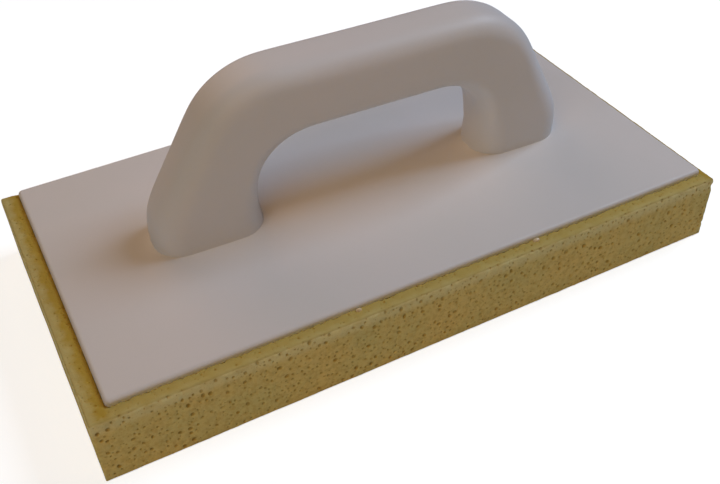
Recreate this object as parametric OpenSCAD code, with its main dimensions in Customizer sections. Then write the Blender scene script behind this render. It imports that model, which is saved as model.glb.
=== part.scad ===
// Sponge grout float: a rigid plastic backing plate with a bridge handle
// screwed on from below, and a block of coarse sponge glued under the plate.
// +X runs along the float, +Z is up, and the origin is the centre of the sole.

/* [Sponge pad] */
// Length of the sponge block
pad_length = 280; // [240:1:320]
// Width of the sponge block
pad_width = 144; // [130:1:170]
// Thickness of the sponge block
pad_height = 30; // [20:1:40]
// Radius of the sponge block's upright corners
pad_corner = 1; // [0.5:0.1:4]

/* [Backing plate] */
// Length of the backing plate
plate_length = 269; // [232:1:309]
// Width of the backing plate
plate_width = 137; // [120:1:160]
// Thickness of the backing plate
plate_thickness = 3; // [2.6:0.1:5]
// Radius of the backing plate's corners
plate_corner = 2; // [1:0.5:10]
// How far the plate sits off the middle of the pad, along the float
plate_shift_x = 2.5; // [0:0.5:4]
// How far the plate sits off the middle of the pad, across the float
plate_shift_y = 2.5; // [0:0.5:3]

/* [Handle] */
// Reach of the heel foot, from the middle of the hand gap to the foot's outer end
heel_reach = 98.5; // [92:0.5:104]
// Reach of the toe foot, from the middle of the hand gap to the foot's outer end
toe_reach = 94.5; // [90:0.5:102]
// Height of the handle above the plate
handle_height = 69.5; // [62:0.5:75]
// Clear length between the feet, at the plate
gap_length = 102; // [96:0.5:106]
// Clear height under the grip
gap_height = 42.5; // [38:0.5:46]
// Width of the handle, across the float
handle_width = 28; // [26:0.5:34]
// How far the handle sits off the middle of the plate, along the float
handle_shift_x = 5; // [-5:0.5:6]
// How far the handle sits off the middle of the plate, across the float
handle_shift_y = 0.75; // [-5:0.25:5]
// How far the handle is turned on the plate, in degrees
handle_turn = -1.6; // [-3:0.1:3]

/* [Fastening] */
// Thickness of the adhesive film between plate and pad
film_thickness = 0.3; // [0.2:0.1:0.6]
// Outer diameter of a handle screw's thread
screw_diameter = 4; // [3.5:0.1:4.5]
// Length of a handle screw, head included
screw_length = 16; // [12:1:20]
// Distance between the two screws in one foot
screw_spacing = 24; // [18:1:26]

/* [Hidden] */
$fn = 64;

pad_colour = "#c9b069";
film_colour = "#e6dcc0";
plate_colour = "#d8d2d2";
screw_colour = "#b9bcc0";
handle_colour = "#d0c8c0";

film_z = pad_height;
plate_z = film_z + film_thickness;
plate_top = plate_z + plate_thickness;
film_inset = 0.6;

handle_x = plate_shift_x + handle_shift_x;
handle_y = plate_shift_y + handle_shift_y;

// Side view of the handle: distances from the middle of the hand gap, heights and fillet radii.
heel_slope = 35.5;
toe_slope = 29;
knee_height = 14;
knee_radius = 27;
heel_shoulder_radius = 39;
toe_shoulder_radius = 36;
arch_flare = 6;
arch_radius = 26;
foot_in = gap_length / 2;
arch_reach = foot_in + arch_flare;
heel_shoulder = heel_reach - heel_slope;
toe_shoulder = toe_reach - toe_slope;

// Points on each straight and each arc of the handle's outer and inner lines. Both lists add up
// to the same number, because the cross-sections run from one line to the other.
outer_steps = [3, 4, 5, 10, 12, 10, 5, 4, 3];
inner_steps = [12, 10, 12, 10, 12];

// Cross-section of the handle: corner radii at the foot and along the grip, and the shares of
// the way from foot to middle between which one blends into the other.
foot_corner = 12.5;
grip_top_corner = 9;
grip_under_corner = 4;
corner_steps = 5;
corner_limit = 0.98;
top_blend = [0, 0.6];
under_blend = [0.35, 0.85];

// Screws: a countersunk head under the plate, and a pilot hole in the foot.
screw_head = 7.6;
head_height = 2.2;
head_clearance = 0.1;
hole_clearance = 0.2;
pilot_diameter = screw_diameter + 0.1;
pilot_depth = screw_length - plate_thickness + 1;
tip_height = 2;
tip_diameter = 1;
recess_width = 0.9;
recess_span = 4.2;
recess_depth = 1.2;
heel_middle = -(heel_reach + foot_in) / 2;
toe_middle = (toe_reach + foot_in) / 2;
screw_offsets = [for (middle = [heel_middle, toe_middle], side = [-1, 1]) middle + side * screw_spacing / 2];

// Beads of adhesive squeezed out along the plate's near edge.
bead_radius = 1.1;
bead_gap = 0.05;
beads = [[-34, 2.4], [48, 3.2]]; // [place along X, length]

eps = 0.01;

function unit(v) = v / norm(v);

// [tangent point on ab, tangent point on bc, centre] of a fillet at b.
function fillet(a, b, c, r) =
    let (u = unit(a - b), v = unit(c - b), half = acos(u * v) / 2)
    [b + u * r / tan(half), b + v * r / tan(half), b + unit(u + v) * r / sin(half)];

function line_points(p, q, n) = [for (k = [0:n - 1]) p + (q - p) * k / n];

function arc_points(p, q, c, n) =
    let (
        start = atan2(p.y - c.y, p.x - c.x),
        turn = (atan2(q.y - c.y, q.x - c.x) - start + 540) % 360 - 180
    )
    [for (k = [0:n - 1]) c + norm(p - c) * [cos(start + turn * k / n), sin(start + turn * k / n)]];

// Points along a polyline with its inner corners rounded. steps counts the points of each
// straight and each arc in turn.
function rounded_path(corners, radii, steps) =
    let (
        last = len(corners) - 1,
        arcs = [for (i = [1:last - 1]) fillet(corners[i - 1], corners[i], corners[i + 1], radii[i - 1])]
    )
    [
        for (i = [0:last - 2])
            each concat(
                line_points(i == 0 ? corners[0] : arcs[i - 1][1], arcs[i][0], steps[2 * i]),
                arc_points(arcs[i][0], arcs[i][1], arcs[i][2], steps[2 * i + 1])
            ),
        each line_points(arcs[last - 2][1], corners[last], steps[2 * last - 2]),
        corners[last],
    ];

handle_outer = rounded_path(
    [
        [-heel_reach, 0], [-heel_reach, knee_height], [-heel_shoulder, handle_height],
        [toe_shoulder, handle_height], [toe_reach, knee_height], [toe_reach, 0],
    ],
    [knee_radius, heel_shoulder_radius, toe_shoulder_radius, knee_radius],
    outer_steps
);
handle_inner = rounded_path(
    [[-foot_in, 0], [-arch_reach, gap_height], [arch_reach, gap_height], [foot_in, 0]],
    [arch_radius, arch_radius],
    inner_steps
);

// 0 at the feet, 1 along the grip, and smooth between them.
function grip_share(k, count, blend) =
    let (
        climb = min(k, count - 1 - k) / (count - 1) * 2,
        t = max(0, min(1, (climb - blend[0]) / (blend[1] - blend[0])))
    )
    t * t * (3 - 2 * t);

function mix(a, b, t) = a + (b - a) * t;

// A rounded rectangle as [distance towards the outside, y] points. half is its half thickness.
function section(half, half_width, top_r, under_r) = [
    for (q = [[1, 1, top_r, 0], [1, -1, top_r, -90], [-1, -1, under_r, -180], [-1, 1, under_r, -270]])
        let (r = min(q[2], corner_limit * half, corner_limit * half_width))
        for (k = [0:corner_steps])
            let (a = q[3] + 90 - 90 * k / corner_steps)
            [q[0] * (half - r) + r * cos(a), q[1] * (half_width - r) + r * sin(a)],
];

function handle_ring(k) =
    let (
        o = handle_outer[k],
        i = handle_inner[k],
        middle = (o + i) / 2,
        out = unit(o - i),
        count = len(handle_outer),
        outline = section(
            norm(o - i) / 2,
            handle_width / 2,
            mix(foot_corner, grip_top_corner, grip_share(k, count, top_blend)),
            mix(foot_corner, grip_under_corner, grip_share(k, count, under_blend))
        )
    )
    [for (p = outline) [middle.x + out.x * p.x, p.y, middle.y + out.y * p.x]];

// Skins a list of equal rings, with flat ends.
module loft(rings) {
    n = len(rings[0]);
    last = len(rings) - 1;
    sides = [
        for (k = [0:last - 1])
            for (j = [0:n - 1])
                [k * n + j, (k + 1) * n + j, (k + 1) * n + (j + 1) % n, k * n + (j + 1) % n],
    ];
    start = [for (j = [0:n - 1]) j];
    end = [for (j = [n - 1:-1:0]) last * n + j];
    polyhedron(points = [for (ring = rings) each ring], faces = concat(sides, [start, end]), convexity = 6);
}

module rounded_rectangle(length, width, r) {
    square([length - 2 * r, width], center = true);
    square([length, width - 2 * r], center = true);
    for (x = [-1, 1], y = [-1, 1])
        translate([x * (length / 2 - r), y * (width / 2 - r)])
            circle(r);
}

module slab(length, width, height, r) {
    linear_extrude(height)
        rounded_rectangle(length, width, r);
}

module sponge_pad() {
    color(pad_colour)
        slab(pad_length, pad_width, pad_height, pad_corner);
}

module adhesive_film() {
    color(film_colour)
        translate([plate_shift_x, plate_shift_y, film_z])
            slab(plate_length - 2 * film_inset, plate_width - 2 * film_inset, film_thickness, plate_corner);
}

// A capsule of adhesive lying along X.
module bead(length) {
    straight = length - 2 * bead_radius;
    rotate([0, 90, 0])
        cylinder(r = bead_radius, h = straight, center = true);
    for (side = [-1, 1])
        translate([side * straight / 2, 0, 0])
            sphere(bead_radius);
}

module glue_beads() {
    color(film_colour)
        for (b = beads)
            translate([
                b[0],
                plate_shift_y - plate_width / 2 - bead_radius - bead_gap,
                pad_height + bead_radius + bead_gap
            ])
                bead(b[1]);
}

// Puts children at a distance x along the handle's own centre line.
module at_handle(x, z) {
    translate([handle_x, handle_y, z])
        rotate([0, 0, handle_turn])
            translate([x, 0, 0])
                children();
}

module countersunk_hole() {
    translate([0, 0, -eps])
        cylinder(d = screw_diameter + 2 * hole_clearance, h = plate_thickness + 2 * eps);
    translate([0, 0, -eps])
        cylinder(
            d1 = screw_head + 2 * head_clearance,
            d2 = screw_diameter + 2 * hole_clearance,
            h = head_height
        );
}

module backing_plate() {
    color(plate_colour)
        difference() {
            translate([plate_shift_x, plate_shift_y, plate_z])
                slab(plate_length, plate_width, plate_thickness, plate_corner);
            for (x = screw_offsets)
                at_handle(x, plate_z)
                    countersunk_hole();
        }
}

module cross_recess() {
    for (turn = [0, 90])
        rotate([0, 0, turn])
            translate([-recess_span / 2, -recess_width / 2, -eps])
                cube([recess_span, recess_width, recess_depth + eps]);
}

// A countersunk screw standing on its head, which points down.
module screw() {
    difference() {
        union() {
            cylinder(d1 = screw_head, d2 = screw_diameter, h = head_height);
            cylinder(d = screw_diameter, h = screw_length - tip_height);
            translate([0, 0, screw_length - tip_height])
                cylinder(d1 = screw_diameter, d2 = tip_diameter, h = tip_height);
        }
        cross_recess();
    }
}

module placed_screw(index) {
    color(screw_colour)
        at_handle(screw_offsets[index], plate_z)
            screw();
}

module screw_left_outer() placed_screw(0);
module screw_left_inner() placed_screw(1);
module screw_right_inner() placed_screw(2);
module screw_right_outer() placed_screw(3);

module handle() {
    color(handle_colour)
        difference() {
            at_handle(0, plate_top)
                loft([for (k = [0:len(handle_outer) - 1]) handle_ring(k)]);
            for (x = screw_offsets)
                at_handle(x, plate_top - eps)
                    cylinder(d = pilot_diameter, h = pilot_depth);
        }
}

sponge_pad();
adhesive_film();
glue_beads();
backing_plate();
screw_left_outer();
screw_left_inner();
screw_right_inner();
screw_right_outer();
handle();
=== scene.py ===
"""Looks of the sponge grout float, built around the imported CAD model.

The float lies along X and stands on Z = 0. Shapes are worked out in millimetres in the frame's own
axes, and become metres once, when their mesh is made.
"""

import math
import random

import bmesh
import bpy
from mathutils import Matrix, Vector, noise
from mathutils.geometry import delaunay_2d_cdt


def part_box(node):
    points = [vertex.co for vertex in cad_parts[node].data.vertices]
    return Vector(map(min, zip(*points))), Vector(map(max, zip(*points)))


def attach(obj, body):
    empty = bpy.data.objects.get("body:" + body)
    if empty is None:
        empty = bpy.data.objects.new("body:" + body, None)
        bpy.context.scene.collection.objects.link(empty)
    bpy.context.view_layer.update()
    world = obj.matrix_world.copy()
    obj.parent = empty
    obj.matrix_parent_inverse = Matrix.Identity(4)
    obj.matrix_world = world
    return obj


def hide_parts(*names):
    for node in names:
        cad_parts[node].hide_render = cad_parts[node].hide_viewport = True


MM = 0.001
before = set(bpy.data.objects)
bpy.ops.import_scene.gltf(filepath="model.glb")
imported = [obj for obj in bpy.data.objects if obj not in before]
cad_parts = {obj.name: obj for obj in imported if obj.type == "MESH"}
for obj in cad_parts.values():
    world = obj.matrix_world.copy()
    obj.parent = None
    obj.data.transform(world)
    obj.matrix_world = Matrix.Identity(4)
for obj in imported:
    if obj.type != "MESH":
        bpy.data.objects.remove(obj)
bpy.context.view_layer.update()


# ------------------------------------------------------------ places and sizes, from the CAD frame

def box_mm(node):
    """A node's lowest and highest corners, in millimetres."""
    low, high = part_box(node)
    return Vector(low) / MM, Vector(high) / MM


pad_low, pad_high = box_mm("sponge_pad")
plate_low, plate_high = box_mm("backing_plate")
film_low, film_high = box_mm("adhesive_film")
beads_low, beads_high = box_mm("glue_beads")
handle_low, handle_high = box_mm("handle")
SCREWS = ("screw_left_outer", "screw_left_inner", "screw_right_inner", "screw_right_outer")

# Handle, as in the CAD. Distances run from the middle of the hand gap, heights from the plate.
HEEL_REACH, TOE_REACH = 98.5, 94.5
HEEL_SLOPE, TOE_SLOPE = 35.5, 29.0
FOOT_IN, ARCH_FLARE = 51.0, 6.0
KNEE_HEIGHT, GAP_HEIGHT = 14.0, 42.5
KNEE_RADIUS, ARCH_RADIUS = 27.0, 26.0
HEEL_SHOULDER_RADIUS, TOE_SHOULDER_RADIUS = 39.0, 36.0
HANDLE_WIDTH = 28.0
FOOT_CORNER, GRIP_TOP_CORNER, GRIP_UNDER_CORNER = 12.5, 9.0, 4.0
# Shares of the way from foot to mid-grip between which the foot's corners become the grip's.
TOP_BLEND, UNDER_BLEND = (0.0, 0.6), (0.35, 0.85)
HANDLE_SHIFT = Vector((5.0, 0.75, 0.0))
HANDLE_TURN = math.radians(-1.6)
HANDLE_HEIGHT = handle_high.z - handle_low.z
plate_middle = (plate_low + plate_high) / 2
handle_at = Vector((plate_middle.x, plate_middle.y, plate_high.z)) + HANDLE_SHIFT

# Screws and their holes, the plate's corner radius and the beads, as in the CAD.
PILOT_RADIUS, PILOT_DEPTH = 2.05, 14.0
SHANK_HOLE_RADIUS, HEAD_HOLE_RADIUS, HEAD_HOLE_DEPTH = 2.2, 3.9, 2.2
PLATE_CORNER = 2.0
BEAD_LENGTHS = 2.4, 3.2


# ------------------------------------------------------------ mesh helpers

class Shell:
    """Points and faces of one mesh. A point put on a surface also keeps its flat place there."""

    def __init__(self):
        self.points, self.faces = [], []
        self.flat, self.sharp, self.pit_shade = {}, set(), {}

    def add(self, points):
        """Adds points and returns their numbers."""
        start = len(self.points)
        self.points += [tuple(p) for p in points]
        return list(range(start, len(self.points)))

    def put(self, surface, places):
        """Adds the points of a surface at flat places, where surface(u, v) gives point and normal."""
        loop = self.add(surface(u, v)[0] for u, v in places)
        self.flat.update(zip(loop, places))
        return loop

    def flatten(self, loop):
        """Sets a loop's flat places to its X and Y."""
        self.flat.update((i, self.points[i][:2]) for i in loop)

    def bridge(self, a, b):
        """Joins two closed loops of the same length."""
        n = len(a)
        self.faces += [(a[k], a[(k + 1) % n], b[(k + 1) % n], b[k]) for k in range(n)]

    def tube(self, loops):
        """Joins a row of closed loops, each to the next."""
        for a, b in zip(loops, loops[1:]):
            self.bridge(a, b)

    def fan(self, loop, tip):
        """Closes a loop with a tip point."""
        n = len(loop)
        self.faces += [(loop[k], loop[(k + 1) % n], tip) for k in range(n)]

    def crease(self, *loops):
        """Marks the edges of closed loops as sharp."""
        for loop in loops:
            n = len(loop)
            self.sharp |= {frozenset((loop[k], loop[(k + 1) % n])) for k in range(n)}

    def fill(self, outer, holes=(), inside=()):
        """Fills the flat area between an outer loop and its holes, all of them convex."""
        loops = [outer, *holes]
        numbers = [i for loop in loops for i in loop] + list(inside)
        owner = [k for k, loop in enumerate(loops) for _ in loop] + [0] * len(inside)
        edges, start = [], 0
        for loop in loops:
            n = len(loop)
            edges += [(start + k, start + (k + 1) % n) for k in range(n)]
            start += n
        spots = [Vector(self.flat[i]) for i in numbers]
        _, _, faces, source, _, _ = delaunay_2d_cdt(spots, edges, [], 0, 1e-7)
        for face in faces:
            ids = [source[i][0] for i in face]
            owners = {owner[i] for i in ids}
            if owners == {0} or len(owners) > 1:
                self.faces.append(tuple(numbers[i] for i in ids))

    def make(self, name, weld=0.0):
        """Makes the Blender object, with outward normals and smooth faces between sharp edges."""
        mesh = bpy.data.meshes.new(name)
        mesh.from_pydata([Vector(p) * MM for p in self.points], [], self.faces)
        # Painted shade inside the pores: 0 on the surface, rising to 1 at a pore's bottom.
        pit_shade = mesh.attributes.new("pit_shade", "FLOAT", "POINT")
        for i, value in self.pit_shade.items():
            pit_shade.data[i].value = value
        work = bmesh.new()
        work.from_mesh(mesh)
        for edge in work.edges:
            edge.smooth = frozenset(v.index for v in edge.verts) not in self.sharp
        if weld:
            bmesh.ops.remove_doubles(work, verts=work.verts, dist=weld * MM)
        bmesh.ops.recalc_face_normals(work, faces=work.faces)
        for face in work.faces:
            face.smooth = True
        work.to_mesh(mesh)
        work.free()
        piece = bpy.data.objects.new(name, mesh)
        bpy.context.scene.collection.objects.link(piece)
        return piece


def level(z):
    """The level surface at height z."""
    return lambda x, y: (Vector((x, y, z)), Vector((0, 0, 1)))


def circle(x, y, radius, count=32):
    """Places round a circle."""
    turns = [2 * math.pi * k / count for k in range(count)]
    return [(x + radius * math.cos(a), y + radius * math.sin(a)) for a in turns]


def smooth_step(t):
    """0 below 0, 1 above 1, and a smooth rise between them."""
    t = max(0.0, min(1.0, t))
    return t * t * (3 - 2 * t)


def mix(a, b, t):
    """The value a share t of the way from a to b."""
    return a + (b - a) * t


def steps_between(low, high, step):
    """Even steps from low to high, both included, of about the given size."""
    n = max(1, round((high - low) / step))
    return [low + (high - low) * k / n for k in range(n + 1)]


class Outline:
    """A rounded rectangle, walked by its sides and corners, so that two of them match point by point."""

    def __init__(self, low, high, inset, radius):
        self.low = (low.x + inset, low.y + inset)
        self.high = (high.x - inset, high.y - inset)
        self.radius = radius

    def stretches(self):
        """Lengths of the sides and corners in turn, from the near side on."""
        along, across = (self.high[i] - self.low[i] - 2 * self.radius for i in (0, 1))
        corner = self.radius * math.pi / 2
        return [along, corner, across, corner] * 2

    def point(self, stretch, share):
        """The place at a share of a stretch, and the outward direction there."""
        (x0, y0), (x1, y1), r = self.low, self.high, self.radius
        centres = [(x1 - r, y0 + r), (x1 - r, y1 - r), (x0 + r, y1 - r), (x0 + r, y0 + r)]
        side, on_corner = divmod(stretch, 2)
        angle = math.radians(90 * (side - 1 + (share if on_corner else 0)))
        out = (math.cos(angle), math.sin(angle))
        centre = centres[side]
        if not on_corner:
            before = centres[side - 1]
            centre = (mix(before[0], centre[0], share), mix(before[1], centre[1], share))
        return (centre[0] + r * out[0], centre[1] + r * out[1]), out

    def walk(self, side_step, corner_parts):
        """(stretch, share) places round the whole outline."""
        places = []
        for stretch, length in enumerate(self.stretches()):
            parts = corner_parts if stretch % 2 else max(1, round(length / side_step))
            places += [(stretch, k / parts) for k in range(parts)]
        return places

    def ring(self, places):
        """The (x, y) points at walked places."""
        return [self.point(*p)[0] for p in places]


# ------------------------------------------------------------ sponge

SPONGE_CORNER, SPONGE_BOTTOM_ROUND, SPONGE_WAVE = 0.8, 0.4, 0.2
# The upper edge is rounded over a narrow inset and a longer drop.
SPONGE_TOP_INSET, SPONGE_TOP_DROP = 1.0, 2.0
# Foam left free beside the glued plate swells above the block: height, width of its rise, depth.
SWELL_HEIGHT, SWELL_RUN, SWELL_DEPTH = 1.3, 0.2, 12.0
SWELL_ROWS = (0.02, 0.1, 0.2, 1.0, 3.0)
# Pores on the band round the block, the sole and the upper margin: (count, least and most radius).
BAND_PORES = [(480, 0.6, 0.95), (1300, 0.42, 0.6), (1700, 0.26, 0.4)]
SOLE_PORES = [(200, 0.65, 1.0), (480, 0.45, 0.6), (700, 0.3, 0.41)]
MARGIN_PORES = [(70, 0.42, 0.6), (260, 0.26, 0.4)]
# How far the margin's pores run in under the plate's edge.
MARGIN_UNDER_PLATE = 0.8
# Grid steps that hold the faces in shape: along a side, up it, on a level face, round the plate.
SIDE_STEP, UP_STEP, FACE_STEP, PLATE_STEP = 4.0, 4.2, 5.0, 2.5
# Radii from which a pore counts as medium and as large.
MEDIUM_PORE, LARGE_PORE = 0.42, 0.6
# Room a pore needs: as a share of its radius, from the next pore and from a border, and the least gap.
PORE_ROOM, BORDER_ROOM, PORE_GAP = 1.38, 1.7, 0.08
# A pore's rings, widest first: (sides, [(width, depth, painted shade), ...]), as shares of the whole.
SMALL_RINGS = (5, [(1.15, 0.0, 0.0), (0.75, 0.6, 0.7)])
MEDIUM_RINGS = (6, [(1.2, 0.0, 0.0), (0.95, 0.3, 0.5), (0.7, 0.85, 0.9)])
LARGE_RINGS = (9, [(1.2, 0.0, 0.0), (1.02, 0.2, 0.35), (0.88, 0.6, 0.8), (0.6, 0.95, 1.0)])


def off_plate(x, y):
    """How far a place lies outside the backing plate's edge. It is negative under the plate."""
    return max(plate_low.x - x, x - plate_high.x, plate_low.y - y, y - plate_high.y)


def cut_face(point, normal):
    """A place on the flat-sided block moved to the real cut face, and its normal."""
    free = smooth_step(off_plate(point.x, point.y) / SWELL_RUN)
    upper = smooth_step(1 + (point.z - pad_high.z) / SWELL_DEPTH)
    near_top = smooth_step(1 + (point.z - pad_high.z) / 1.5)
    wave = 0.75 + 0.5 * noise.noise(point / 23.0) + 0.25 * noise.noise(point / 7.0)
    sunk = SPONGE_WAVE * wave * mix(1.0, free, near_top)
    return point - normal * sunk + Vector((0, 0, SWELL_HEIGHT * free * upper)), normal


class SpongeBand:
    """The block's four sides with both roundings, unrolled: s runs round the block and v up it."""

    def __init__(self):
        self.outer = Outline(pad_low, pad_high, 0, SPONGE_CORNER)
        self.top = Outline(pad_low, pad_high, SPONGE_TOP_INSET, 0.3)
        self.sole = Outline(pad_low, pad_high, SPONGE_BOTTOM_ROUND, SPONGE_CORNER - SPONGE_BOTTOM_ROUND)
        self.lengths = self.outer.stretches()
        self.round = sum(self.lengths)
        straight = pad_high.z - pad_low.z - SPONGE_BOTTOM_ROUND - SPONGE_TOP_DROP
        self.side_from = SPONGE_BOTTOM_ROUND * math.pi / 2
        self.side_to = self.side_from + straight
        self.top_arc = math.pi / 2 * math.hypot(SPONGE_TOP_INSET, SPONGE_TOP_DROP) / math.sqrt(2)
        self.rise = self.side_to + self.top_arc

    def run_of(self, stretch, share):
        """s at a place of the outline."""
        return sum(self.lengths[:stretch]) + share * self.lengths[stretch]

    def place_of(self, s):
        """The outline's place at s."""
        s %= self.round
        for stretch, length in enumerate(self.lengths):
            if s < length:
                return stretch, s / length
            s -= length
        return 0, 0.0

    def __call__(self, s, v):
        """The point and the outward normal at (s, v)."""
        place = self.place_of(s)
        (x, y), out = self.outer.point(*place)
        z, lean = pad_low.z + SPONGE_BOTTOM_ROUND + v - self.side_from, 0.0
        tilt = Vector((1.0, 1.0, 1.0))
        if v < self.side_from:
            lean = v / SPONGE_BOTTOM_ROUND - math.pi / 2
            z = pad_low.z + SPONGE_BOTTOM_ROUND * (1 + math.sin(lean))
            (ix, iy), _ = self.sole.point(*place)
        elif v > self.side_to:
            lean = (v - self.side_to) / self.top_arc * math.pi / 2
            z = pad_high.z - SPONGE_TOP_DROP * (1 - math.sin(lean))
            (ix, iy), _ = self.top.point(*place)
            tilt = Vector((SPONGE_TOP_DROP, SPONGE_TOP_DROP, SPONGE_TOP_INSET))
        if lean:
            x, y = mix(ix, x, math.cos(lean)), mix(iy, y, math.cos(lean))
        normal = Vector((out[0] * math.cos(lean), out[1] * math.cos(lean), math.sin(lean))) * tilt
        return cut_face(Vector((x, y, z)), normal.normalized())


def sponge_sole(x, y):
    """The sole's surface."""
    return cut_face(Vector((x, y, pad_low.z)), Vector((0, 0, -1)))


def sponge_top(x, y):
    """The upper face's surface."""
    return cut_face(Vector((x, y, pad_high.z)), Vector((0, 0, 1)))


class Bins:
    """Pores sorted into square bins, for finding the ones near a place."""

    SIZE = 3.2

    def __init__(self):
        self.bins = {}

    def add(self, pore):
        key = (int(pore[0] // self.SIZE), int(pore[1] // self.SIZE))
        self.bins.setdefault(key, []).append(pore)

    def clear(self, x, y, r, gap):
        """True if a pore of radius r at (x, y) keeps a gap from every other."""
        i, j = int(x // self.SIZE), int(y // self.SIZE)
        for a in (i - 1, i, i + 1):
            for b in (j - 1, j, j + 1):
                for px, py, pr in self.bins.get((a, b), ()):
                    if math.hypot(x - px, y - py) < PORE_ROOM * (r + pr) + gap:
                        return False
        return True


def scatter_pores(rng, wanted, low, high, allowed):
    """Random pores (x, y, radius) between two corners that keep clear of each other."""
    bins, pores = Bins(), []
    for count, smallest, largest in wanted:
        left, tries = count, count * 40
        while left and tries:
            tries -= 1
            x, y = rng.uniform(low[0], high[0]), rng.uniform(low[1], high[1])
            pore = (x, y, rng.uniform(smallest, largest))
            if allowed(*pore) and bins.clear(*pore, PORE_GAP):
                bins.add(pore)
                pores.append(pore)
                left -= 1
    return pores, bins


def pore_spokes(rng, r, count):
    """Spokes from a pore's centre to its uneven rim."""
    longer, turn = rng.uniform(0.85, 1.2), rng.uniform(0, math.pi)
    spokes = []
    for k in range(count):
        a = 2 * math.pi * k / count
        reach = r * rng.uniform(0.9, 1.1)
        spoke = Vector((reach * longer * math.cos(a), reach / longer * math.sin(a)))
        spoke.rotate(Matrix.Rotation(turn, 2))
        spokes.append(spoke)
    return spokes


def dig_pore(shell, rng, surface, x, y, r):
    """Adds a pore's cavity under a surface and returns its rim."""
    sides, rings = SMALL_RINGS if r < MEDIUM_PORE else MEDIUM_RINGS if r < LARGE_PORE else LARGE_RINGS
    spokes = pore_spokes(rng, r, sides)
    middle, normal = surface(x, y)
    depth = r * rng.uniform(0.5, 1.1)
    loops = []
    for width, sunk, painted_shade in rings:
        places = [(x + spoke[0] * width, y + spoke[1] * width) for spoke in spokes]
        if sunk:
            loop = shell.add(surface(*p)[0] - normal * depth * sunk for p in places)
        else:
            loop = shell.put(surface, places)
        # Each ring keeps its share of painted shade for the material.
        shell.pit_shade.update((i, painted_shade) for i in loop)
        loops.append(loop)
    shell.tube(loops)
    tip = shell.add([middle - normal * depth])[0]
    shell.pit_shade[tip] = 1.0
    shell.fan(loops[-1], tip)
    return loops[0]


def pored_face(shell, rng, surface, border, pores, bins, grid):
    """Fills a border with a pored surface, held in shape by the grid's free places."""
    rims = [dig_pore(shell, rng, surface, *pore) for pore in pores]
    free = [p for p in grid if bins.clear(*p, 0.0, 0.3)]
    shell.fill(border, rims, shell.put(surface, free))


def cut_sides(shell, rng, band):
    """Adds the four pored sides as one band, and returns the rims of the sole and the top."""
    runs = [band.run_of(*p) for p in band.outer.walk(SIDE_STEP, 6)] + [band.round]
    levels = steps_between(0, band.side_from, 0.7)[:-1]
    levels += steps_between(band.side_from, band.side_to, UP_STEP)[:-1]
    levels += steps_between(band.side_to, band.rise, 0.9)
    sole_rim = shell.put(band, [(s, 0) for s in runs])
    right = shell.put(band, [(band.round, v) for v in levels[1:-1]])
    top_rim = shell.put(band, [(s, band.rise) for s in runs])
    left = shell.put(band, [(0, v) for v in levels[1:-1]])

    def inner(s, v, r):
        return BORDER_ROOM * r < min(s, v, band.round - s, band.rise - v)

    pores, bins = scatter_pores(rng, BAND_PORES, (0, 0), (band.round, band.rise), inner)
    grid = [(s, v) for s in runs[1:-1] for v in levels[1:-1]]
    pored_face(shell, rng, band, sole_rim + right + top_rim[::-1] + left[::-1], pores, bins, grid)
    return sole_rim[:-1], top_rim[:-1]


def cut_level_face(shell, rng, rim, surface, wanted, outline, least_off_plate=-math.inf, rows=()):
    """Adds a pored level face inside its rim, with rows of grid places round the plate."""
    shell.flatten(rim)
    low, high = outline.low, outline.high

    def inner(x, y, r):
        edge = min(x - low[0], high[0] - x, y - low[1], high[1] - y)
        return edge > BORDER_ROOM * r and off_plate(x, y) > least_off_plate

    pores, bins = scatter_pores(rng, wanted, low, high, inner)
    grid = [
        (x, y)
        for x in steps_between(low[0], high[0], FACE_STEP)[1:-1]
        for y in steps_between(low[1], high[1], FACE_STEP)[1:-1]
    ]
    for apart in rows:
        ring = Outline(plate_low, plate_high, -apart, PLATE_CORNER + apart)
        grid += [p for p in ring.ring(ring.walk(PLATE_STEP, 4)) if inner(*p, 0.2)]
    pored_face(shell, rng, surface, rim, pores, bins, grid)


def build_sponge():
    """The cut sponge block: flat faces, a soft upper edge, and open pores all over."""
    rng = random.Random(7)
    shell, band = Shell(), SpongeBand()
    sole_rim, top_rim = cut_sides(shell, rng, band)
    cut_level_face(shell, rng, sole_rim, sponge_sole, SOLE_PORES, band.sole)
    cut_level_face(shell, rng, top_rim, sponge_top, MARGIN_PORES, band.top, -MARGIN_UNDER_PLATE, SWELL_ROWS)
    return shell.make("sponge_block", weld=0.001)


# ------------------------------------------------------------ backing plate, adhesive and beads

def at_handle(x, y=0.0, z=0.0):
    """A place given along the handle, in the float's own axes."""
    spot = Vector((x, y, z))
    spot.rotate(Matrix.Rotation(HANDLE_TURN, 3, "Z"))
    return spot + handle_at


def screw_places():
    """The middle of each screw, as (x, y)."""
    places = []
    for name in SCREWS:
        low, high = box_mm(name)
        places.append(((low.x + high.x) / 2, (low.y + high.y) / 2))
    return places


def plate_profile(thickness):
    """(inset, height) of the plate's side from its lower edge to its upper one."""
    top_round, bottom_round = 1.5, 0.25
    lower = [(bottom_round * (1 - math.sin(a)), bottom_round * (1 - math.cos(a)))
             for a in steps_between(0, math.pi / 2, 0.5)]
    upper = [(top_round * (1 - math.cos(a)), thickness - top_round * (1 - math.sin(a)))
             for a in steps_between(0, math.pi / 2, 0.22)]
    return lower + upper


def sink_screw_hole(shell, x, y, thickness):
    """Adds a countersunk hole through the plate and returns its lower and upper rims."""
    steps = ((0, HEAD_HOLE_RADIUS), (HEAD_HOLE_DEPTH, SHANK_HOLE_RADIUS), (thickness, SHANK_HOLE_RADIUS))
    rings = [shell.put(level(plate_low.z + z), circle(x, y, radius)) for z, radius in steps]
    shell.tube(rings)
    shell.crease(*rings)
    return rings[0], rings[-1]


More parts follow.
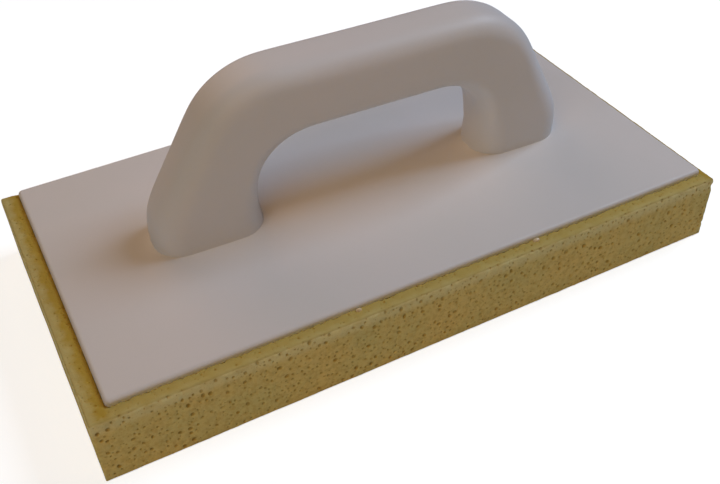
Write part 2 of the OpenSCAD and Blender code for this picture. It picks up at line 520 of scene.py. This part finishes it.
def build_plate():
    """The moulded plate: rounded upper edge, crisp lower edge and four countersunk holes."""
    shell = Shell()
    thickness = plate_high.z - plate_low.z
    walk = Outline(plate_low, plate_high, 0, PLATE_CORNER).walk(6.0, 10)
    loops = []
    for inset, z in plate_profile(thickness):
        outline = Outline(plate_low, plate_high, inset, PLATE_CORNER - inset)
        loops.append(shell.put(level(plate_low.z + z), outline.ring(walk)))
    shell.tube(loops)
    rims = [sink_screw_hole(shell, x, y, thickness) for x, y in screw_places()]
    shell.fill(loops[0], [lower for lower, _ in rims])
    shell.fill(loops[-1], [upper for _, upper in rims])
    shell.crease(loops[0], loops[-1])
    return shell.make("plate_moulding")


def build_film():
    """The adhesive: a thin layer whose edge is uneven where it was pressed out."""
    shell = Shell()
    outline = Outline(film_low, film_high, 0, PLATE_CORNER)
    walk = outline.walk(1.5, 8)
    thickness = film_high.z - film_low.z
    loops = []
    for bulge, z in ((0.35, 0.0), (0.1, 0.25), (0.0, 0.5), (0.1, 0.75), (0.35, 1.0)):
        ring = []
        for place in walk:
            (x, y), out = outline.point(*place)
            uneven = 0.35 + 0.35 * noise.noise(Vector((x, y, 0)) / 4.0)
            back = bulge * thickness + uneven
            ring.append((x - out[0] * back, y - out[1] * back))
        loops.append(shell.put(level(film_low.z + z * thickness), ring))
    shell.tube(loops)
    shell.fill(loops[0])
    shell.fill(loops[-1])
    return shell.make("adhesive_layer")


def add_bead(shell, left, length):
    """Adds one lumpy drop with its long axis along X."""
    radius = (beads_high.z - beads_low.z) / 2
    y, z = (beads_low.y + beads_high.y) / 2, beads_low.z + radius
    around, along = 20, 22
    loops = []
    for k in range(1, along):
        a = math.pi * k / along
        x = left + length / 2 * (1 - math.cos(a))
        loop = []
        for j in range(around):
            b = 2 * math.pi * j / around
            lump = 0.82 + 0.18 * noise.noise(Vector((x, math.cos(b), math.sin(b))) * 1.3)
            reach = radius * math.sin(a) ** 0.7 * lump
            loop.append((x, y + reach * math.cos(b), z + reach * math.sin(b)))
        loops.append(shell.add(loop))
    shell.tube(loops)
    ends = shell.add([(left, y, z), (left + length, y, z)])
    shell.fan(loops[0], ends[0])
    shell.fan(loops[-1], ends[1])


def build_beads():
    """Two beads of adhesive squeezed out at the plate's near edge."""
    shell = Shell()
    left_length, right_length = BEAD_LENGTHS
    add_bead(shell, beads_low.x, left_length)
    add_bead(shell, beads_high.x - right_length, right_length)
    return shell.make("squeezed_out_beads")


# ------------------------------------------------------------ handle

def fillet(a, b, c, r):
    """Tangent points and centre of a fillet at b."""
    u, v = (a - b).normalized(), (c - b).normalized()
    half = u.angle(v) / 2
    reach = r / math.tan(half)
    return b + u * reach, b + v * reach, b + (u + v).normalized() * r / math.sin(half)


def rounded_path(corners, radii, steps):
    """Points along a polyline with its inner corners rounded, with a count for each straight and arc."""
    corners = [Vector(c) for c in corners]
    path, here = [], corners[0]
    for i, r in enumerate(radii):
        p, q, centre = fillet(*corners[i:i + 3], r)
        path += [here.lerp(p, k / steps[2 * i]) for k in range(steps[2 * i])]
        spoke, turn = p - centre, (p - centre).angle_signed(q - centre)
        for k in range(steps[2 * i + 1]):
            part = spoke.copy()
            part.rotate(Matrix.Rotation(-turn * k / steps[2 * i + 1], 2))
            path.append(centre + part)
        here = q
    path += [here.lerp(corners[-1], k / steps[-1]) for k in range(steps[-1] + 1)]
    return path


def eased(path, passes):
    """The path with its bends eased into its straights. Both ends stay."""
    for _ in range(passes):
        path = [path[0]] + [(a + b * 2 + c) / 4 for a, b, c in zip(path, path[1:], path[2:])] + [path[-1]]
    return path


def rounded_section(half, half_width, top_r, under_r, parts):
    """A rounded rectangle as (distance towards the outside, y) places."""
    ring = []
    corners = ((1, 1, top_r, 0), (1, -1, top_r, -90), (-1, -1, under_r, -180), (-1, 1, under_r, -270))
    for out, side, r, start in corners:
        r = min(r, 0.98 * half, 0.98 * half_width)
        for k in range(parts + 1):
            a = math.radians(start + 90 - 90 * k / parts)
            ring.append((out * (half - r) + r * math.cos(a), side * (half_width - r) + r * math.sin(a)))
    return ring


def handle_lines():
    """The handle's outer and inner lines, side on, with the same number of points each."""
    finer, passes = 3, 14
    arch_reach = FOOT_IN + ARCH_FLARE
    outer = rounded_path(
        [(-HEEL_REACH, 0), (-HEEL_REACH, KNEE_HEIGHT), (HEEL_SLOPE - HEEL_REACH, HANDLE_HEIGHT),
         (TOE_REACH - TOE_SLOPE, HANDLE_HEIGHT), (TOE_REACH, KNEE_HEIGHT), (TOE_REACH, 0)],
        [KNEE_RADIUS, HEEL_SHOULDER_RADIUS, TOE_SHOULDER_RADIUS, KNEE_RADIUS],
        [finer * n for n in (3, 4, 5, 10, 12, 10, 5, 4, 3)],
    )
    inner = rounded_path(
        [(-FOOT_IN, 0), (-arch_reach, GAP_HEIGHT), (arch_reach, GAP_HEIGHT), (FOOT_IN, 0)],
        [ARCH_RADIUS, ARCH_RADIUS],
        [finer * n for n in (12, 10, 12, 10, 12)],
    )
    return eased(outer, passes), eased(inner, passes)


def handle_ring(o, i, climb):
    """The handle's cross-section between an outer and an inner point. climb is 0 at a foot, 1 mid-grip."""
    top_share, under_share = (
        smooth_step((climb - start) / (end - start))
        for start, end in (TOP_BLEND, UNDER_BLEND)
    )
    middle, out = (o + i) / 2, (o - i).normalized()
    section = rounded_section(
        (o - i).length / 2,
        HANDLE_WIDTH / 2,
        mix(FOOT_CORNER, GRIP_TOP_CORNER, top_share),
        mix(FOOT_CORNER, GRIP_UNDER_CORNER, under_share),
        9,
    )
    return [at_handle(middle.x + out.x * d, y, middle.y + out.y * d) for d, y in section]


def close_foot(shell, foot, places):
    """Closes a foot's sole round a pilot hole for each screw."""
    shell.flatten(foot)
    holes = []
    for x, y in places:
        hole = circle(x, y, PILOT_RADIUS, 24)
        rings = [shell.put(level(handle_at.z + z), hole) for z in (0, PILOT_DEPTH)]
        shell.tube(rings)
        shell.fill(rings[1])
        shell.crease(*rings)
        holes.append(rings[0])
    shell.fill(foot, holes)
    shell.crease(foot)


def build_handle():
    """The moulded bridge handle, with flat soles and a pilot hole for each screw."""
    outer, inner = handle_lines()
    shell, last = Shell(), len(outer) - 1
    loops = [
        shell.add(handle_ring(o, i, min(k, last - k) / last * 2))
        for k, (o, i) in enumerate(zip(outer, inner))
    ]
    shell.tube(loops)
    places = screw_places()
    close_foot(shell, loops[0], places[:2])
    close_foot(shell, loops[-1], places[2:])
    return shell.make("handle_moulding")


# ------------------------------------------------------------ screws

# Radii of a screw's head, core and thread, and heights above the head's face.
SCREW_AROUND = 32
SCREW_HEAD, SCREW_RIM, SCREW_BEVEL = 3.8, 0.3, 0.12
SCREW_CORE, SCREW_CREST, SCREW_PITCH = 1.4, 2.0, 1.5
SCREW_HEAD_TOP, SCREW_TAPER_FROM, SCREW_TIP = 2.2, 14.0, 16.0
# Cross recess: reach of an arm from the middle, half its width, and the floor's size as a share.
RECESS_REACH, RECESS_HALF_WIDTH, RECESS_DEPTH, RECESS_NARROWING = 2.1, 0.45, 1.2, 0.6


def thread_ring(x, y, height):
    """The thread's outline at a height above the head's face: a ridge that turns as it climbs."""
    taper = min(1.0, (SCREW_TIP - height) / (SCREW_TIP - SCREW_TAPER_FROM))
    grown = smooth_step((height - SCREW_HEAD_TOP) / 1.2)
    ring = []
    for k in range(SCREW_AROUND):
        a = 2 * math.pi * k / SCREW_AROUND
        phase = (height / SCREW_PITCH - k / SCREW_AROUND) % 1.0
        ridge = max(0.0, 1 - abs(phase - 0.5) / 0.26)
        r = (SCREW_CORE + (SCREW_CREST - SCREW_CORE) * ridge * grown) * taper
        ring.append((x + r * math.cos(a), y + r * math.sin(a)))
    return ring


def cut_recess(shell, x, y, z, rim):
    """Adds the cross recess and the flat of the head between it and the head's rim."""
    cross = []
    for a, b in ((1, 0), (0, 1), (-1, 0), (0, -1)):
        for aside in (-RECESS_HALF_WIDTH, RECESS_HALF_WIDTH):
            cross.append((a * RECESS_REACH - b * aside, b * RECESS_REACH + a * aside))
        cross.append((RECESS_HALF_WIDTH * (a - b), RECESS_HALF_WIDTH * (a + b)))
    mouth = shell.put(level(z), [(x + a, y + b) for a, b in cross])
    narrow = [(x + RECESS_NARROWING * a, y + RECESS_NARROWING * b) for a, b in cross]
    floor = shell.put(level(z + RECESS_DEPTH), narrow)
    shell.bridge(mouth, floor)
    shell.crease(mouth, floor, rim)
    shell.faces.append(tuple(floor[k] for k in (2, 5, 8, 11)))
    quarter = SCREW_AROUND // 4
    for arm in range(4):
        shell.faces.append(tuple(floor[(3 * arm + k) % 12] for k in (0, 1, 2, -1)))
        corners = [mouth[(3 * arm + k) % 12] for k in range(4)]
        beside = [rim[(quarter * arm + k) % SCREW_AROUND] for k in range(quarter + 1)]
        shell.faces.append((*beside, corners[3], corners[2], corners[1]))
        shell.faces.append((beside[0], corners[1], corners[0]))


def build_screw(name, x, y, z):
    """A countersunk self-tapping screw standing on its head, with a cross recess in the head."""
    shell = Shell()
    head = (
        (0, SCREW_HEAD - SCREW_BEVEL), (SCREW_BEVEL, SCREW_HEAD), (SCREW_RIM, SCREW_HEAD),
        (SCREW_HEAD_TOP, SCREW_CREST - 0.15),
    )
    loops = [shell.put(level(z + height), circle(x, y, r, SCREW_AROUND)) for height, r in head]
    for height in steps_between(SCREW_HEAD_TOP + 0.2, SCREW_TIP - 0.15, 0.18):
        loops.append(shell.put(level(z + height), thread_ring(x, y, height)))
    shell.tube(loops)
    shell.fan(loops[-1], shell.add([(x, y, z + SCREW_TIP)])[0])
    cut_recess(shell, x, y, z, loops[0])
    return shell.make(name)


# ------------------------------------------------------------ materials

class Graph:
    """A material's node tree round one Principled shader, in the piece's own coordinates."""

    def __init__(self, name):
        self.material = bpy.data.materials.new(name)
        self.material.use_nodes = True
        self.tree = self.material.node_tree
        self.shader = self.tree.nodes["Principled BSDF"]
        self.where = self.add("ShaderNodeTexCoord").outputs["Object"]

    def add(self, kind, inputs=None, **settings):
        """A new node with its settings, and with its inputs set or linked."""
        node = self.tree.nodes.new(kind)
        for key, value in settings.items():
            setattr(node, key, value)
        for key, value in (inputs or {}).items():
            self.set(node.inputs[key], value)
        return node

    def set(self, socket, value):
        """Links an output to a socket, or sets the socket's own value."""
        if isinstance(value, bpy.types.NodeSocket):
            self.tree.links.new(value, socket)
        else:
            socket.default_value = value

    def noise(self, scale, detail=3.0, roughness=0.5):
        """Noise fixed to the piece."""
        inputs = {"Vector": self.where, "Scale": scale, "Detail": detail, "Roughness": roughness}
        return self.add("ShaderNodeTexNoise", inputs).outputs["Fac"]

    def math(self, operation, a, b=0.0):
        """A sum, product or other operation on two values."""
        return self.add("ShaderNodeMath", {0: a, 1: b}, operation=operation).outputs[0]

    def span(self, value, from_low, from_high, to_low=0.0, to_high=1.0, smooth=False):
        """The value taken from one range to another, and held at its ends."""
        inputs = {"Value": value, "From Min": from_low, "From Max": from_high}
        inputs |= {"To Min": to_low, "To Max": to_high}
        kind = "SMOOTHSTEP" if smooth else "LINEAR"
        return self.add("ShaderNodeMapRange", inputs, interpolation_type=kind).outputs["Result"]

    def blend(self, share, a, b):
        """The mix of two colours."""
        node = self.add("ShaderNodeMix", data_type="RGBA")
        self.set(node.inputs["Factor"], share)
        self.set(node.inputs["A"], a)
        self.set(node.inputs["B"], b)
        return node.outputs["Result"]

    def bump(self, height, distance, strength=1.0, normal=None):
        """A normal bumped by a height, on top of another bump where one is given."""
        inputs = {"Height": height, "Distance": distance, "Strength": strength}
        node = self.add("ShaderNodeBump", inputs)
        if normal:
            self.set(node.inputs["Normal"], normal)
        return node.outputs["Normal"]

    def finish(self, **sockets):
        """Links or sets the shader's sockets and returns the material."""
        for key, value in sockets.items():
            self.set(self.shader.inputs[key.replace("_", " ")], value)
        return self.material


def colour(r, g, b):
    """A linear colour from 0-255 screen values."""
    def linear(c):
        c /= 255
        return c / 12.92 if c <= 0.04045 else ((c + 0.055) / 1.055) ** 2.4
    return (linear(r), linear(g), linear(b), 1.0)


PLASTIC_BASE, PLASTIC_CLOUD = colour(235, 234, 234), colour(231, 232, 231)
ADHESIVE_PALE, ADHESIVE_CLOUD = colour(244, 226, 186), colour(226, 200, 152)
STEEL_BRIGHT, STEEL_DULL = colour(196, 196, 198), colour(172, 174, 180)
SPONGE_OLIVE, SPONGE_OCHRE = colour(228, 216, 138), colour(240, 217, 133)
SPONGE_CELL = colour(204, 178, 92)
# A painted highlight for the upper edge, and a darker upper face as painted shade.
SPONGE_EDGE_HIGHLIGHT, SPONGE_TOP_SHADE = colour(244, 240, 180), colour(208, 195, 126)
# Painted shade deep in the pores, and glue stain mixed with painted shade beside the plate.
SPONGE_PIT_SHADE, SPONGE_STAIN_AND_SHADE = colour(141, 112, 42), colour(189, 160, 54)


def plastic(name, grain):
    """Matt moulded plastic: clouded colour, fine grain and a slightly uneven sheen."""
    g = Graph(name)
    clouds = g.noise(14.0, 4.0, 0.55)
    flecks = g.noise(900.0, 2.0)
    shade = g.blend(g.span(clouds, 0.35, 0.65), PLASTIC_BASE, PLASTIC_CLOUD)
    darker = tuple(c * 0.75 for c in PLASTIC_BASE[:3]) + (1.0,)
    shade = g.blend(g.span(flecks, 0.62, 0.8, 0.0, 0.12), shade, darker)
    rough = g.span(g.noise(60.0, 4.0), 0.3, 0.7, 0.42, 0.56)
    grain_bump = g.bump(g.noise(1600.0, 2.0), 0.00003, grain)
    normal = g.bump(g.noise(35.0, 3.0), 0.0003, 0.25, grain_bump)
    return g.finish(Base_Color=shade, Roughness=rough, Normal=normal)


def glue_stain_and_shade(g, x, y, z, top):
    """How far the foam is darkened by glue stain and by painted shade beside the plate: near the plate and
    the upper face, most at the two ends.
    """
    uneven = g.span(g.noise(160.0, 3.0), 0.3, 0.7, -0.0012, 0.0012)
    apart = []
    for axis, place in ((0, x), (1, y)):
        middle, half = plate_middle[axis] * MM, (plate_high[axis] - plate_low[axis]) / 2 * MM
        apart.append(g.math("SUBTRACT", g.math("ABSOLUTE", g.math("SUBTRACT", place, middle)), half))
    near = [g.span(g.math("ADD", a, uneven), 0.0068, 0.0022, smooth=True) for a in apart]
    stronger_at_ends = g.span(apart[0], -0.001, 0.001, 0.55, 0.95)
    # Glue stain together with painted shade where the plate shades the foam beside it.
    stain_and_shade = g.math("MULTIPLY", g.math("MINIMUM", *near), stronger_at_ends)
    upper = g.span(z, top - 0.003, top - 0.0005)
    return g.math("MULTIPLY", stain_and_shade, upper)


def sponge_material():
    """Coarse yellow sponge: mottled, with painted shade in its pores, a painted highlight at the upper
    edge, painted shade on the upper face, and glue stain with painted shade beside the plate.
    """
    g = Graph("cut_sponge")
    shade = g.blend(g.span(g.noise(45.0, 4.0, 0.6), 0.35, 0.65), SPONGE_OLIVE, SPONGE_OCHRE)
    shade = g.blend(g.span(g.noise(520.0, 3.0, 0.6), 0.55, 0.35, 0.0, 0.45), shade, SPONGE_CELL)
    x, y, z = g.add("ShaderNodeSeparateXYZ", {"Vector": g.where}).outputs
    top = pad_high.z * MM
    # Painted highlight: the sides turn paler towards their rounded upper edge.
    edge_highlight = g.span(z, top - 0.006, top - 0.001, 0.0, 0.75, smooth=True)
    shade = g.blend(edge_highlight, shade, SPONGE_EDGE_HIGHLIGHT)
    # Painted shade: the swollen upper face is made darker than the sides.
    shade = g.blend(g.span(z, top + 0.0003, top + 0.0008), shade, SPONGE_TOP_SHADE)
    voronoi = g.add("ShaderNodeTexVoronoi", {"Vector": g.where, "Scale": 1000.0}, feature="F1")
    cells = voronoi.outputs["Distance"]
    # Painted shade in the fine pores: darker spots round the Voronoi points.
    shade = g.blend(g.span(cells, 0.35, 0.05, 0.0, 0.35), shade, SPONGE_CELL)
    # Painted shade deep in the pores, from the points' pore-shade attribute.
    depth = g.add("ShaderNodeAttribute", attribute_name="pit_shade").outputs["Fac"]
    shade = g.blend(g.span(depth, 0.0, 1.0, 0.0, 0.42), shade, SPONGE_PIT_SHADE)
    # Glue stain and painted shade beside the plate.
    shade = g.blend(glue_stain_and_shade(g, x, y, z, top), shade, SPONGE_STAIN_AND_SHADE)
    normal = g.bump(cells, 0.0002, 0.4, g.bump(g.noise(1500.0, 3.0), 0.0002, 0.35))
    rough = g.span(g.noise(400.0), 0.3, 0.7, 0.88, 1.0)
    return g.finish(Base_Color=shade, Roughness=rough, Normal=normal)


def adhesive_material():
    """Dried contact adhesive, pale and a little clouded."""
    g = Graph("dried_adhesive")
    shade = g.blend(g.span(g.noise(300.0), 0.35, 0.65), ADHESIVE_PALE, ADHESIVE_CLOUD)
    rough = g.span(g.noise(500.0), 0.3, 0.7, 0.3, 0.5)
    normal = g.bump(g.noise(700.0), 0.0001, 0.4)
    return g.finish(Base_Color=shade, Roughness=rough, Normal=normal)


def steel_material():
    """Zinc-plated steel, a little uneven."""
    g = Graph("zinc_plated_steel")
    shade = g.blend(g.span(g.noise(500.0), 0.35, 0.65), STEEL_BRIGHT, STEEL_DULL)
    rough = g.span(g.noise(900.0), 0.3, 0.7, 0.25, 0.42)
    normal = g.bump(g.noise(2500.0), 0.00002, 0.3)
    return g.finish(Base_Color=shade, Metallic=1.0, Roughness=rough, Normal=normal)


def floor_material():
    """Matt paper. Its glow reaches the camera only, so it looks white without lighting the float."""
    g = Graph("pale_floor")
    shade = g.blend(g.span(g.noise(1.5), 0.3, 0.7), (0.86, 0.86, 0.86, 1.0), (0.84, 0.84, 0.84, 1.0))
    seen = g.add("ShaderNodeLightPath").outputs["Is Camera Ray"]
    glow = g.math("MULTIPLY", seen, 0.72)
    tint = (0.9, 0.96, 1.0, 1.0)
    return g.finish(Base_Color=shade, Roughness=0.8, Emission_Color=tint, Emission_Strength=glow)


# ------------------------------------------------------------ pieces on the frame

def stand_for(piece, node, material):
    """Puts a piece in a CAD node's place, with its material."""
    piece.data.materials.append(material)
    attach(piece, "root")
    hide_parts(node)
    return piece


def build_float():
    """Builds every piece of the float in its node's place."""
    adhesive, steel = adhesive_material(), steel_material()
    handle_plastic = plastic("moulded_handle", grain=0.5)
    plate_plastic = plastic("moulded_plate", grain=0.35)
    sponge = stand_for(build_sponge(), "sponge_pad", sponge_material())
    stand_for(build_film(), "adhesive_film", adhesive)
    stand_for(build_beads(), "glue_beads", adhesive)
    stand_for(build_plate(), "backing_plate", plate_plastic)
    stand_for(build_handle(), "handle", handle_plastic)
    for node, (x, y) in zip(SCREWS, screw_places()):
        screw = build_screw(node.replace("screw", "threaded_screw"), x, y, plate_low.z)
        stand_for(screw, node, steel)


# ------------------------------------------------------------ floor, light and camera

def add_floor():
    """A wide pale floor under the float."""
    mesh = bpy.data.meshes.new("floor")
    work = bmesh.new()
    bmesh.ops.create_grid(work, x_segments=8, y_segments=8, size=4.0)
    work.to_mesh(mesh)
    work.free()
    floor = bpy.data.objects.new("floor", mesh)
    mesh.materials.append(floor_material())
    bpy.context.scene.collection.objects.link(floor)


def add_softbox(name, azimuth, elevation, distance, size, power, tint):
    """A square lamp that looks at the float. Azimuth runs from +Y towards +X."""
    turn, rise = math.radians(azimuth), math.radians(elevation)
    level_part = math.cos(rise)
    at = distance * Vector((math.sin(turn) * level_part, math.cos(turn) * level_part, math.sin(rise)))
    lamp = bpy.data.lights.new(name, "AREA")
    lamp.size, lamp.energy, lamp.color = size, power, tint
    softbox = bpy.data.objects.new(name, lamp)
    softbox.location = at
    softbox.rotation_euler = (-at).to_track_quat("-Z", "Y").to_euler()
    bpy.context.scene.collection.objects.link(softbox)


def add_backdrop():
    """A pale backdrop seen by the camera only, so that the softboxes alone light the float."""
    world = bpy.data.worlds.new("backdrop")
    world.use_nodes = True
    background = world.node_tree.nodes["Background"]
    background.inputs["Color"].default_value = (0.95, 0.96, 0.97, 1.0)
    seen = world.node_tree.nodes.new("ShaderNodeLightPath").outputs["Is Camera Ray"]
    world.node_tree.links.new(seen, background.inputs["Strength"])
    bpy.context.scene.world = world


def add_camera():
    """A camera at the near left, above the float, with the roll of the photo's camera."""
    camera = bpy.data.objects.new("camera", bpy.data.cameras.new("camera"))
    camera.data.sensor_width, camera.data.lens = 36.0, 46.23
    camera.data.shift_x, camera.data.shift_y = 0.0089, 0.0056
    azimuth, elevation, roll = math.radians(26.23), math.radians(41.18), math.radians(-2.18)
    target, distance = Vector((-0.0045, -0.0049, 0.0033)), 0.42
    level_part = math.cos(elevation)
    forward = Vector((math.sin(azimuth) * level_part, math.cos(azimuth) * level_part, -math.sin(elevation)))
    camera.location = target - forward * distance
    turn = forward.to_track_quat("-Z", "Y").to_matrix() @ Matrix.Rotation(roll, 3, "Z")
    camera.rotation_euler = turn.to_euler()
    camera.data.clip_start, camera.data.clip_end = 0.01, 20.0
    bpy.context.scene.collection.objects.link(camera)
    bpy.context.scene.camera = camera


def main():
    """Builds the float and its small studio."""
    add_camera()
    build_float()
    add_floor()
    add_softbox("key_softbox", 90, 50, 1.2, 0.5, 5.86, (0.68, 0.8, 1.0))
    add_softbox("warm_softbox", 225, 50, 1.3, 0.8, 4.26, (1.0, 0.54, 0.16))
    add_softbox("cool_softbox", 250, 30, 1.3, 1.0, 1.88, (0.08, 0.6, 1.0))
    add_softbox("back_softbox", 350, 30, 1.3, 1.0, 3.16, (1.0, 0.61, 0.36))
    add_backdrop()
    bpy.context.scene.view_settings.view_transform = "Standard"


main()
